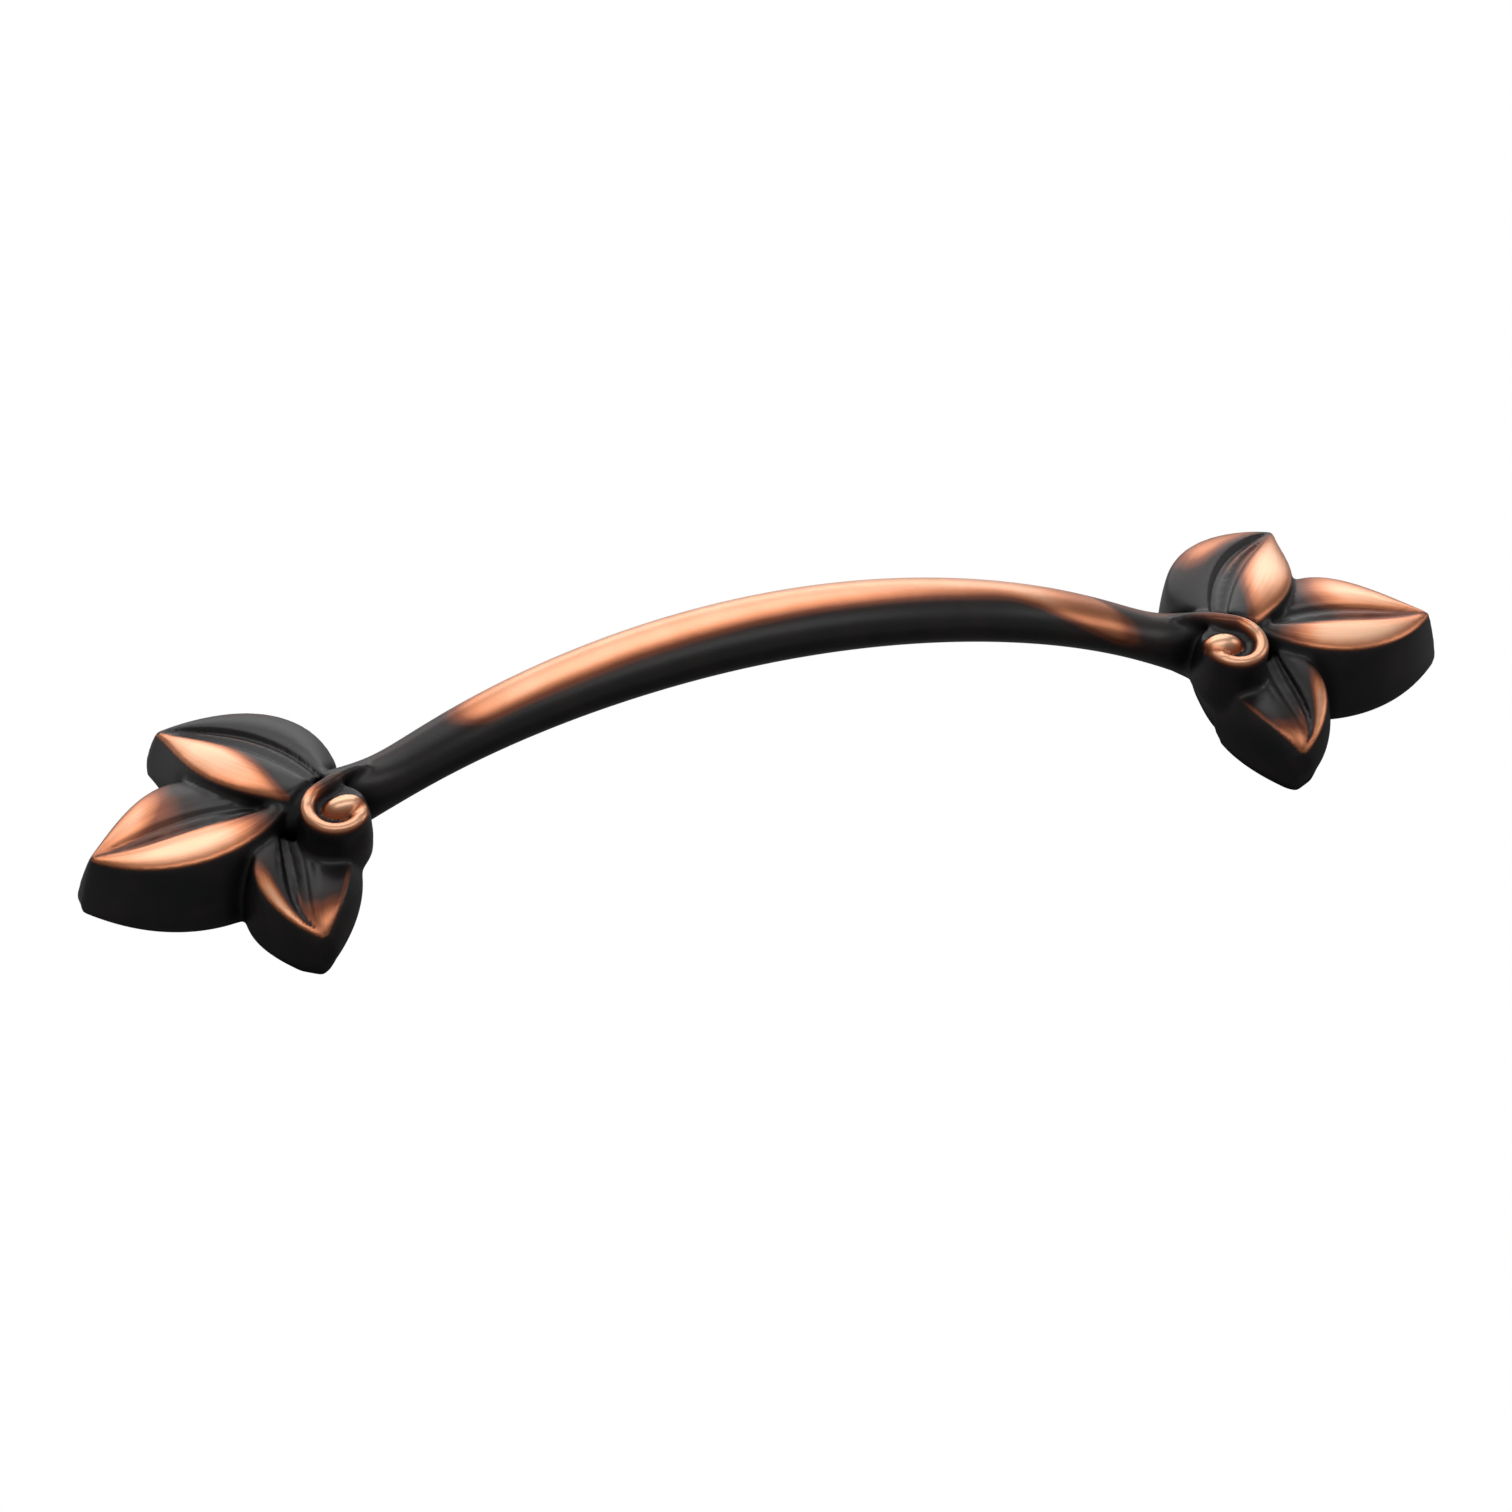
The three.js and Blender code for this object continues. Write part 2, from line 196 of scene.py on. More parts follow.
# A leaf is a gridded block laid between its far edge, vein and near edge,
# with walls that run down past the mounting plane.
def makeLeaf(side, leaf):
    form, sink = leafForm, layout["sink"]
    tip = Vector(leaf["tip"])
    lines = ([Vector(p) for p in leaf[name]] + [tip] for name in ("vein", "nearEdge", "farEdge"))
    vein, near, far = lines
    bm, layers = newPiece()
    bmesh.ops.create_cube(bm, size=1)
    bmesh.ops.subdivide_edges(bm, edges=bm.edges[:], cuts=form["cuts"], use_grid_fill=True)
    ahead = cubicRun(vein, 1)

    def place(co):
        along, share, down = co.x + 0.5, abs(2 * co.y), 0.5 - co.z
        edge, wall = (near, leaf["nearWall"]) if co.y < 0 else (far, leaf["farWall"])
        reach = min(1, down / form["wallShare"])
        held = along * (1 - leaf["footBlunt"] * reach)
        middle, rim, run = cubic(vein, along), cubic(edge, held), cubicRun(edge, held)
        outward = Vector((run.y, -run.x, 0))
        if outward.dot(rim - cubic(vein, min(along, form["tipSide"]))) < 0:
            outward.negate()
        bulge, foot = (lerp(wall[i], leaf["tipWall"][i], along ** form["wallLate"]) for i in (0, 1))
        under = clamp((down - form["wallShare"]) / (1 - form["wallShare"]))
        spread = foot * reach + 4 * reach * (1 - reach) * (bulge - foot / 2)
        inset = under * form["baseSlope"] * (form["baseRound"] + sink)
        nearTip = along ** form["tipTurnLate"]
        widened = form["tipHalfWidth"] * along ** form["tipWidenLate"]
        rim = rim + outward * (widened + spread - inset * (1 - nearTip))
        rim = rim + ahead * (form["tipLead"] * (spread - inset) * nearTip)
        middle = middle + ahead * ((spread - inset + form["tipHalfWidth"]) * nearTip)
        top = middle.lerp(rim, share)
        fade = math.sin(math.pi * (1 - form["tipFade"] * along) / 2)
        crest = top.z + crownRise(leaf, share) * fade
        height = lerp(lerp(crest, form["baseRound"], reach), -sink, under)
        marks = {"kind": leaf["kind"], "along": along, "across": 2 * co.y, "down": down}
        return endPoint(side, top.x, top.y, height), marks

    reshape(bm, layers, place)
    return keepPiece(bm, "leafForm")


# Each level is a height, the section's middle out and back, and its half sizes out and back.
post = {
    "levels": ((0, 3.8, 1.2, 4.6, 7.4), (2.5, 2.8, 0.3, 4.5, 6.6), (6, 0.3, -1.5, 3.85, 4.0),
               (8.5, 0.15, -2.2, 3.5, 3.5), (11.2, 0.15, -2.3, 3.1, 3.15)),
    "fullness": 2.5, "around": 64, "rings": 44,
    "heartAt": (2.0, 1.4, 7.0), "heartRadii": (3.0, 3.0, 3.5),
}
scroll = {
    "height": 11.6, "out": 0.2, "back": -2.3, "leanOut": -0.08, "leanBack": 0.1,
    "radius": 2.82, "turn": 1.56 * math.pi, "start": 0.35, "tighten": 0.12, "tightenLate": 2.5,
    "tuck": 0.12, "tuckLate": 12, "dive": 1.3, "diveLate": 10,
    "bead": 0.76, "startShare": 0.5, "taper": 0.5, "depth": 2.8,
    "ridgeStart": (-4.6, 2.9, 11.0), "ridgeLead": (0.4, 0, 0.04), "joinLead": 0.38, "leadSteps": 24,
    "eyeOffsets": {-1: -0.7, 1: -1.2}, "eyeRadii": (2.15, 1.3, 1.4), "eyeSink": 0.4,
    "steps": 48, "around": 20, "rings": 160, "aimSpan": 0.02,
}


def scrollPlane(out, back):
    lean = scroll["leanOut"] * (out - scroll["out"])
    return scroll["height"] + lean + scroll["leanBack"] * (back - scroll["back"])


def makePost(side):
    bm, layers = newPiece()
    ringedCan(bm, post["around"], post["rings"])
    low, high = post["levels"][0][0], post["levels"][-1][0]

    def place(co):
        height = low + (co.z + 0.5) * (high - low)
        pairs = zip(post["levels"], post["levels"][1:])
        below, above = next(pair for pair in pairs if height <= pair[1][0] + 1e-6)
        share = (height - below[0]) / (above[0] - below[0])
        midOut, midBack, halfOut, halfBack = (lerp(below[i], above[i], share) for i in (1, 2, 3, 4))
        out = midOut + halfOut * squared(co.x, post["fullness"])
        back = midBack + halfBack * squared(co.y, post["fullness"])
        tilt = (scrollPlane(out, back) - scroll["height"]) * (height - low) / (high - low)
        up = -layout["sink"] if co.z < -0.49 else height + tilt
        return endPoint(side, out, back, up), {"kind": 4, "along": out, "across": back, "down": up}

    reshape(bm, layers, place)
    return keepPiece(bm, "postForm")


def makeBall(side, kind, at, radii, followPlane=False):
    bm, layers = newPiece()
    bmesh.ops.create_icosphere(bm, subdivisions=5, radius=1)

    def place(co):
        out, back, up = (a + r * c for a, r, c in zip(at, radii, co))
        if followPlane:
            up += scrollPlane(out, back) - scroll["height"]
        marks = {"kind": kind, "along": out, "across": back, "down": up}
        return endPoint(side, out, back, up), marks

    reshape(bm, layers, place)
    return keepPiece(bm, "ballForm")


# The bead's line leaves the bar's ridge, joins the ring at its back and runs round to its inner side.
def scrollLine():
    def ring(turned):
        angle = math.pi / 2 - scroll["start"] - turned * (scroll["turn"] - scroll["start"])
        tightened = scroll["tighten"] * turned ** scroll["tightenLate"]
        tucked = scroll["tuck"] * turned ** scroll["tuckLate"]
        radius = scroll["radius"] * (1 - tightened - tucked)
        out = scroll["out"] + radius * math.cos(angle)
        back = scroll["back"] + radius * math.sin(angle)
        dived = scroll["dive"] * turned ** scroll["diveLate"]
        return Vector((out, back, scrollPlane(out, back) - dived))

    ridge = Vector(scroll["ridgeStart"])
    joined = ring(0)
    run = (ring(0.002) - joined).normalized()
    reach = (joined - ridge).length
    leave = ridge + Vector(scroll["ridgeLead"]) * reach
    lead = [ridge, leave, joined - run * reach * scroll["joinLead"], joined]
    points = [cubic(lead, i / scroll["leadSteps"]) for i in range(scroll["leadSteps"])]
    return points + [ring(i / scroll["steps"]) for i in range(scroll["steps"] + 1)]


# The bead hangs a deep keel into the post, so no gap is left under it.
def makeBead(side):
    points = [endPoint(side, *p) for p in scrollLine()]
    lengths = [0.0]
    for a, b in zip(points, points[1:]):
        lengths.append(lengths[-1] + (b - a).length)

    def at(share):
        want = clamp(share) * lengths[-1]
        i = next((k for k, far in enumerate(lengths[1:]) if far >= want), len(points) - 2)
        return points[i].lerp(points[i + 1], (want - lengths[i]) / (lengths[i + 1] - lengths[i]))

    bm, layers = newPiece()
    ringedCan(bm, scroll["around"], scroll["rings"])

    def place(co):
        share = co.z + 0.5
        radius = scroll["bead"] * min(1, scroll["startShare"] + share / scroll["taper"])
        ahead = (at(share + scroll["aimSpan"]) - at(share - scroll["aimSpan"])).normalized()
        sideways = ahead.cross(Vector((0, 0, 1))).normalized()
        upwards = sideways.cross(ahead)
        rise = co.y * (scroll["depth"] if co.y < 0 else radius)
        marks = {"kind": 5, "along": share, "across": co.x, "down": co.y}
        return at(share) + sideways * (radius * co.x) + upwards * rise, marks

    reshape(bm, layers, place)
    return keepPiece(bm, "beadForm")


def endForms(side):
    eyeOut = scroll["out"] + scroll["eyeOffsets"][side]
    eyeAt = (eyeOut, scroll["back"], scroll["height"] - scroll["eyeSink"])
    return [
        *(makeLeaf(side, leaf) for leaf in (backLeaf, outerLeaf, frontLeaf)),
        makePost(side),
        makeBall(side, 4, post["heartAt"], post["heartRadii"]),
        makeBead(side),
        makeBall(side, 6, eyeAt, scroll["eyeRadii"], True),
    ]


def joinForms(forms):
    bm = bmesh.new()
    for mesh in forms:
        bm.from_mesh(mesh)
        bpy.data.meshes.remove(mesh)
    return bm


skinForm = {
    "voxel": 0.265, "passes": 6, "scrollPasses": 5, "scrollReach": 4.2, "scrollFloor": 9.6,
    "hollowPasses": 5,
}


def besideScroll(co):
    out = abs(co.x) - layout["scrollSpacing"] / 2 - scroll["out"]
    back = co.y + layout["barSetback"] - scroll["back"]
    return math.hypot(out, back) < skinForm["scrollReach"] and co.z > skinForm["scrollFloor"]


# Voxels melt the forms into one skin, which is smoothed the way a casting's corners are.
def castSkin(bm):
    mesh = bpy.data.meshes.new("castSkin")
    bm.to_mesh(mesh)
    obj = bpy.data.objects.new("castSkin", mesh)
    bpy.context.scene.collection.objects.link(obj)
    melt = obj.modifiers.new("melt", "REMESH")
    melt.mode = "VOXEL"
    melt.voxel_size = skinForm["voxel"]
    melt.adaptivity = 0
    skin = bmesh.new()
    skin.from_object(obj, bpy.context.evaluated_depsgraph_get())
    bpy.data.objects.remove(obj)
    bpy.data.meshes.remove(mesh)
    everywhere = skin.verts[:]
    elsewhere = [v for v in everywhere if not besideScroll(v.co)]
    for i in range(skinForm["passes"]):
        chosen = everywhere if i < skinForm["scrollPasses"] else elsewhere
        bmesh.ops.smooth_vert(
            skin, verts=chosen, factor=0.5, use_axis_x=True, use_axis_y=True, use_axis_z=True)
    skin.normal_update()
    return skin


# Fine relief cut into the leaf tops: a vein between two grooves, and thin side lines by the root.
# across runs from -1 at the near edge over 0 at the vein to 1 at the far edge.
# Each groove and line is its place across the leaf and its depth.
veins = {
    1: {"rise": 0.20, "grooves": ((-0.13, 0.34), (0.14, 0.42)),
        "lines": ((0.32, 0.07),), "fade": (0.75, 1.0)},
    2: {"rise": 0.16, "grooves": ((-0.12, 0.22), (0.13, 0.15)),
        "lines": ((0.30, 0.08), (-0.28, 0.05)), "fade": (0.6, 0.98)},
    3: {"rise": 0.26, "grooves": ((-0.17, 0.16), (0.17, 0.38)),
        "lines": ((0.38, 0.08), (-0.38, 0.07)), "fade": (0.45, 0.86)},
}
groove = {
    "reach": 0.055, "widen": 0.05, "lineReach": 0.05,
    "lineStart": (0.0, 0.12), "lineEnd": (0.55, 0.25), "wallFade": (0.06, 0.01),
}


def veinRelief(kind, along, across):
    form = veins[kind]
    reach = groove["reach"] + groove["widen"] * along ** 2
    relief = form["rise"] * bump(across, 0, reach)
    for at, depth in form["grooves"]:
        relief -= depth * bump(across, at, reach)
    for at, depth in form["lines"]:
        fade = smoothStep(*groove["lineEnd"], along) * smoothStep(*groove["lineStart"], along)
        relief -= depth * fade * bump(across, at, groove["lineReach"])
    return relief * smoothStep(form["fade"][1], form["fade"][0], along)


# Gives each vertex of the skin its kind, and its place on the form it was melted from.
def readMarks(skin, forms):
    forms.verts.ensure_lookup_table()
    forms.faces.ensure_lookup_table()
    tree = BVHTree.FromBMesh(forms)
    source = [forms.verts.layers.float[name] for name in ("kind", "along", "across", "down")]
    marks = []
    for v in skin.verts:
        spot, normal, index, gap = tree.find_nearest(v.co)
        corners = forms.faces[index].verts
        weights = poly_3d_calc([c.co for c in corners], spot)
        kind = round(corners[0][source[0]])
        place = (sum(w * c[layer] for w, c in zip(weights, corners)) for layer in source[1:])
        marks.append((kind, *place))
    return marks


def cutVeins(skin, marks):
    for v, (kind, along, across, down) in zip(skin.verts, marks):
        if kind in veins:
            fade = smoothStep(*groove["wallFade"], down)
            v.co += v.normal * veinRelief(kind, along, across) * fade
    skin.normal_update()


# How hollow the skin is at each vertex: above 0 in a groove, below 0 on a ridge.
def hollows(skin):
    skin.verts.index_update()
    values = []
    for v in skin.verts:
        around = [e.other_vert(v).co for e in v.link_edges]
        middle = sum(around, Vector((0, 0, 0))) / len(around)
        values.append((middle - v.co).dot(v.normal) / skinForm["voxel"])
    return spreadOut(skin, values, skinForm["hollowPasses"])


# How open each place lies, from 0 in a nook to 1 on a bare crown, from rays cast round its normal.
nook = {"rays": 8, "lean": 0.95, "reach": 5.0, "lift": 0.15, "passes": 6, "backs": 0.8}


def openness(skin):
    tree = BVHTree.FromBMesh(skin)
    turns = [2 * math.pi * i / nook["rays"] for i in range(nook["rays"])]
    values = []
    for v in skin.verts:
        sideways = v.normal.orthogonal().normalized()
        other = v.normal.cross(sideways)
        start = v.co + v.normal * nook["lift"]
        free = 0.0
        for turn in turns:
            aim = v.normal + (sideways * math.cos(turn) + other * math.sin(turn)) * nook["lean"]
            gap = tree.ray_cast(start, aim, nook["reach"])[3]
            free += 1 if gap is None else gap / nook["reach"]
        values.append(free / len(turns))
    return spreadOut(skin, values, nook["passes"])


def spreadOut(skin, values, passes):
    around = [[e.other_vert(v).index for e in v.link_edges] for v in skin.verts]
    for _ in range(passes):
        values = [
            0.5 * value + 0.5 * sum(values[i] for i in near) / len(near)
            for value, near in zip(values, around)
        ]
    return values


# How much copper the buffing has laid bare, from 0 to 1, with painted highlight and shade laid over it.
# Each leaf has a pattern for its near half and one for its far half. Some values are given for the left
# end, -1, and for the right end, 1; where they differ they paint the highlight and shade that light
# lays differently on the two ends. A span is where along the leaf a stripe comes in, a share is where
# across it, and a tip value is how much the buffing missed there.
backBuffingAndPaintedLight = {
    "lobeStart": {-1: 0.0, 1: -0.25}, "lobeSoft": {-1: 0.42, 1: 0.6}, "root": 0.75, "rootLate": 4,
    "lobeTip": {-1: 0.0, 1: 0.4}, "lobeTipSpan": (0.7, 1.0), "lobeTipShare": (0.9, 0.3),
    "vein": {-1: 0.46, 1: 0.62}, "veinReach": 0.11, "veinSpan": (0.15, 0.45),
    "rim": {-1: 0.36, 1: 0.72}, "rimShare": {-1: (0.5, 1.0), 1: (0.1, 0.75)},
    "rimSpan": {-1: (0.25, 0.6), 1: (0.1, 0.5)},
    "rimTip": {-1: 0.0, 1: 0.4}, "rimTipSpan": (0.85, 1),
}
outerBuffingAndPaintedLight = {
    "band": {-1: 0.46, 1: 0.56}, "bandSpan": (0.15, 0.55),
    "nearShare": (-0.02, 0.24), "root": 0.3, "rootLate": 3, "nearSpan": (0.0, 0.35),
    "far": {-1: 0.9, 1: 0.95}, "farShare": {-1: (0.0, 0.12), 1: (0.0, 0.24)},
    "farSpan": {-1: (0.12, 0.56), 1: (0.05, 0.5)}, "farSkew": {-1: (0.3, 1), 1: (0.15, 0.5)},
}
frontBuffing = {
    "vein": 0.75, "veinReach": 0.08, "veinSpan": (0.35, 0.6),
    "ridge": 0.6, "ridgeShare": (0.84, 0.97), "ridgeSpan": (0.05, 0.4),
    "near": 0.85, "nearSpan": (0.42, 0.9), "nearSkew": (0.2, 0.5),
    "far": 0.95, "farStart": (0.6, 0.05), "farSoft": 0.45, "farSpan": (0.08, 0.5),
    "farTip": 0.5, "farTipSpan": (0.82, 0.95),
}


def backLeafRubAndPaintedLight(side, near, along, share):
    form = backBuffingAndPaintedLight
    if near:
        start = form["lobeStart"][side]
        reached = share - form["root"] * (1 - along) ** form["rootLate"]
        missed = smoothStep(*form["lobeTipSpan"], along) * smoothStep(*form["lobeTipShare"], share)
        lobe = smoothStep(start, start + form["lobeSoft"][side], reached)
        return lobe * (1 - form["lobeTip"][side] * missed)
    vein = form["vein"][side] * bump(share, 0.0, form["veinReach"])
    vein *= smoothStep(*form["veinSpan"], along)
    rim = form["rim"][side] * smoothStep(*form["rimShare"][side], share)
    rim *= smoothStep(*form["rimSpan"][side], along)
    return max(vein, rim * (1 - form["rimTip"][side] * smoothStep(*form["rimTipSpan"], along)))


def outerLeafRubAndPaintedLight(side, near, along, share):
    form = outerBuffingAndPaintedLight
    band = form["band"][side] * smoothStep(*form["bandSpan"], along)
    if near:
        reached = share - form["root"] * (1 - along) ** form["rootLate"]
        lobe = smoothStep(*form["nearShare"], reached)
        return max(lobe * smoothStep(*form["nearSpan"], along), band)
    skew, middle = form["farSkew"][side]
    lobe = form["far"][side] * smoothStep(*form["farShare"][side], share)
    return max(lobe * smoothStep(*form["farSpan"][side], along + skew * (share - middle)), band)


def frontLeafRub(side, near, along, share):
    form = frontBuffing
    vein = form["vein"] * bump(share, 0.0, form["veinReach"]) * smoothStep(*form["veinSpan"], along)
    if near:
        skew, middle = form["nearSkew"]
        ridge = form["ridge"] * smoothStep(*form["ridgeShare"], share)
        ridge *= smoothStep(*form["ridgeSpan"], along)
        lobe = form["near"] * smoothStep(*form["nearSpan"], along + skew * abs(share - middle))
        return max(vein, ridge, lobe)
    start = lerp(*form["farStart"], along) - form["farTip"] * smoothStep(*form["farTipSpan"], along)
    far = form["far"] * smoothStep(start, start + form["farSoft"], share)
    return max(vein, far * smoothStep(*form["farSpan"], along))


leafRubsAndPaintedLight = {1: backLeafRubAndPaintedLight, 2: outerLeafRubAndPaintedLight, 3: frontLeafRub}


# The angle round the bar is 0 at its top and grows to the front, in degrees.
# Towards each end the bright band slides off the top and down the front; that slide, which differs
# between the ends, is a painted highlight laid on the buffed copper.
barBuffingAndPaintedLight = {
    "front": 14, "frontTurn": 0.4, "turnReach": 22, "frontSoft": (28, 22),
    "frontEnd": {-1: 30, 1: 78}, "frontSwing": (23, 36),
    "drawnBack": {-1: 45, 1: 0}, "drawnSpan": (29, 37),
    "back": -82, "backEnd": {-1: -30, 1: 8}, "backSwing": (29, 38), "backSoft": 18,
    "band": 0.84, "endBand": {-1: 0.84, 1: 0.74}, "endSpan": (25, 32),
    "fade": {-1: (36, 30), 1: (39.5, 34)},
    "ridge": {-1: 0.16, 1: 0.36}, "ridgeAngle": -30, "ridgeReach": 26, "ridgeFade": (47, 40),
}


def barRubAndPaintedLight(along, angle):
    form = barBuffingAndPaintedLight
    side = 1 if along > 0 else -1
    out = abs(along)
    middle = form["front"] - form["frontTurn"] * clamp(along, -form["turnReach"], form["turnReach"])
    front = lerp(middle, form["frontEnd"][side], smoothStep(*form["frontSwing"], out))
    front -= form["drawnBack"][side] * smoothStep(*form["drawnSpan"], out)
    back = lerp(form["back"], form["backEnd"][side], smoothStep(*form["backSwing"], out))
    band = smoothStep(front + form["frontSoft"][0], front - form["frontSoft"][1], angle)
    band *= smoothStep(back - form["backSoft"], back + form["backSoft"], angle)
    band *= smoothStep(*form["fade"][side], out)
    band *= lerp(1, form["endBand"][side], smoothStep(*form["endSpan"], out))
    ridge = bump(angle, form["ridgeAngle"], form["ridgeReach"])
    ridge *= smoothStep(*form["ridgeFade"], out)
    return max(form["band"] * band, ridge * form["ridge"][side])


# The scroll is brightest on the eye, whose pale middle fading to a darker edge is a painted highlight
# on the buffed copper. The bead leaves the bar dark and brightens on its way round, with a painted
# highlight along its crest and some painted highlight and shade where the two ends differ.
scrollBuffingAndPaintedLight = {
    "eyeEdge": 0.5, "eyeSpan": (0.4, 1.05), "eyeBlend": (0.85, 1.15),
    "lead": {-1: 0.22, 1: 0.36}, "leadSpan": {-1: (0.1, 0.2), 1: (-0.1, 0.3)},
    "bead": 0.86, "beadSpan": (0.24, 0.46), "beadHeight": (-0.35, 0.9),
}


def eyeDistance(spot, side):
    centre = endPoint(side, scroll["out"] + scroll["eyeOffsets"][side], scroll["back"], 0)
    halfOut, halfBack = scroll["eyeRadii"][:2]
    return math.hypot((spot.x - centre.x) / halfOut, (spot.y - centre.y) / halfBack)


def eyeRubAndPaintedLight(near):
    return 1 - scrollBuffingAndPaintedLight["eyeEdge"] * smoothStep(*scrollBuffingAndPaintedLight["eyeSpan"], near)


def beadRubAndPaintedLight(side, along, down):
    form = scrollBuffingAndPaintedLight
    lead = form["lead"][side] * smoothStep(*form["leadSpan"][side], along)
    crest = max(lead, form["bead"] * smoothStep(*form["beadSpan"], along))
    return smoothStep(*form["beadHeight"], down) * crest


# The leaves' copper is dimmed away from the middle of each half and of the leaf's length, so a painted
# highlight sits in the middle; edge keeps the copper off the walls.
polishAndPaintedShine = {"low": 0.58, "share": (0.58, 0.34), "along": (0.52, 0.42), "edge": (0.035, 0.0)}


def rubAndPaintedLightAt(spot, kind, side, along, across, down):
    if kind == 0:
        return barRubAndPaintedLight(along, math.degrees(math.atan2(-across, down)))
    if kind in leafRubsAndPaintedLight:
        share = abs(across)
        # painted shine: a highlight lifted into the copper's colour
        paintedShine = (1 - polishAndPaintedShine["low"]) * bump(share, *polishAndPaintedShine["share"]) * bump(along, *polishAndPaintedShine["along"])
        rubAndPaintedLight = leafRubsAndPaintedLight[kind](side, across < 0, along, share)
        return (polishAndPaintedShine["low"] + paintedShine) * rubAndPaintedLight * smoothStep(*polishAndPaintedShine["edge"], down)
    if kind == 4:
        return 0.0
    eyeNear = eyeDistance(spot, side)
    if kind == 6:
        return eyeRubAndPaintedLight(eyeNear)
    blend = smoothStep(*scrollBuffingAndPaintedLight["eyeBlend"], eyeNear)
    return lerp(eyeRubAndPaintedLight(eyeNear), beadRubAndPaintedLight(side, along, down), blend)


# Where a place lies in the streaks, which run along the forms and are faint on the scroll.
streaks = {"formStep": 3.0, "barLength": 9, "scrollShare": 0.05}


def grainAt(kind, along, across):
    if kind in veins:
        return kind * streaks["formStep"], along, across
    if kind == 0:
        return 0.0, along * streaks["barLength"], across
    return kind * streaks["formStep"], 0.0, across * streaks["scrollShare"]


# Grooves keep their patina, except where the buffing wore the leaf down, and ridges catch some.
baring = {
    "smoothBar": 38.0, "ridge": 0.25, "ridgeHollow": (0.05, 0.3), "ridgeDown": 0.12,
    "groove": (0.08, 0.34), "worn": {2: 0.45}, "wornElse": 0.15, "wornSpan": (0.3, 0.6),
    "wornTip": 0.5, "wornTipSpan": (0.78, 0.92), "open": (0.3, 0.62),
}


def markSkin(skin, marks):
    rubAndPaintedLightLayer = skin.verts.layers.float.new("rubAndPaintedLight")
    openLayer = skin.verts.layers.float.new("open")
    grainLayer = skin.verts.layers.float_vector.new("grain")
    details = zip(skin.verts, marks, hollows(skin), openness(skin))
    for v, (kind, along, across, down), hollow, opened in details:
        side = -1 if v.co.x < 0 else 1
        rubAndPaintedLight = rubAndPaintedLightAt(v.co, kind, side, along, across, down)
        if kind == 0 and abs(v.co.x) < baring["smoothBar"]:
            hollow = 0.0
        onTop = kind in veins and down < baring["ridgeDown"]
        ridge = smoothStep(*baring["ridgeHollow"], -hollow) * (baring["ridge"] if onTop else 0.0)
        worn = baring["worn"].get(kind, baring["wornElse"]) * smoothStep(*baring["wornSpan"], along)
        worn += baring["wornTip"] * smoothStep(*baring["wornTipSpan"], along)
        bared = 1 - (1 - worn) * smoothStep(*baring["groove"], hollow)
        v[rubAndPaintedLightLayer] = clamp(max(rubAndPaintedLight, ridge) * bared * smoothStep(*baring["open"], opened))
        v[openLayer] = opened
        v[grainLayer] = grainAt(kind, along, across)


# The backs are ground flat at the mounting plane, which leaves an open outline at each end.
screw = {
    "spacing": 96.0, "drill": 3.3, "major": 4.0, "pitch": 0.7, "depth": 7.5, "point": 1.0,
    "flank": 1.35, "flat": 0.15, "runOut": (1.0, 2.2), "around": 36, "perPitch": 7,
}


def flattenBack(skin):
    bmesh.ops.bisect_plane(skin, geom=skin.verts[:] + skin.edges[:] + skin.faces[:], dist=1e-5,
                           plane_co=(0, 0, 0), plane_no=(0, 0, 1), clear_inner=True)
    openLayer = skin.verts.layers.float["open"]
    outline = [e for e in skin.edges if e.is_boundary]
    for side in (-1, 1):
        centre = Matrix.Translation((side * screw["spacing"] / 2, 0, 0))
        made = bmesh.ops.create_circle(
            skin, cap_ends=False, segments=screw["around"], radius=screw["major"] / 2, matrix=centre)
        for v in made["verts"]:
            v[openLayer] = nook["backs"]
        mouth = [e for e in skin.edges if all(v in made["verts"] for v in e.verts)]
        rim = [e for e in outline if e.verts[0].co.x * side > 0]
        bmesh.ops.triangle_fill(skin, use_beauty=True, use_dissolve=False, edges=rim + mouth)
        cutThread(skin, mouth, centre.translation)


def threadRadius(angle, depth):
    turn = (depth / screw["pitch"] + angle / (2 * math.pi)) % 1
    crest = clamp(abs(2 * turn - 1) * screw["flank"] - screw["flat"])
    last, first = (screw["depth"] - turns * screw["pitch"] for turns in screw["runOut"])
    runOut = smoothStep(last, first, depth)
    return lerp(screw["drill"] / 2, screw["major"] / 2, crest * runOut)


def cutThread(skin, mouth, centre):
    rows = round(screw["depth"] / screw["pitch"] * screw["perPitch"])
    ring = mouth
    for row in range(1, rows + 1):
        made = bmesh.ops.extrude_edge_only(skin, edges=ring)["geom"]
        depth = screw["depth"] * row / rows
        fresh = [g for g in made if isinstance(g, bmesh.types.BMVert)]
        for v in fresh:
            angle = math.atan2(v.co.y - centre.y, v.co.x - centre.x)
            radius = threadRadius(angle, depth)
            v.co = (centre.x + radius * math.cos(angle), centre.y + radius * math.sin(angle), depth)
        edges = [g for g in made if isinstance(g, bmesh.types.BMEdge)]
        ring = [e for e in edges if all(v in fresh for v in e.verts)]
    floor = bmesh.ops.edgeloop_fill(skin, edges=ring)["faces"]
    for v in bmesh.ops.poke(skin, faces=floor)["verts"]:
        v.co.z = screw["depth"] + screw["point"]


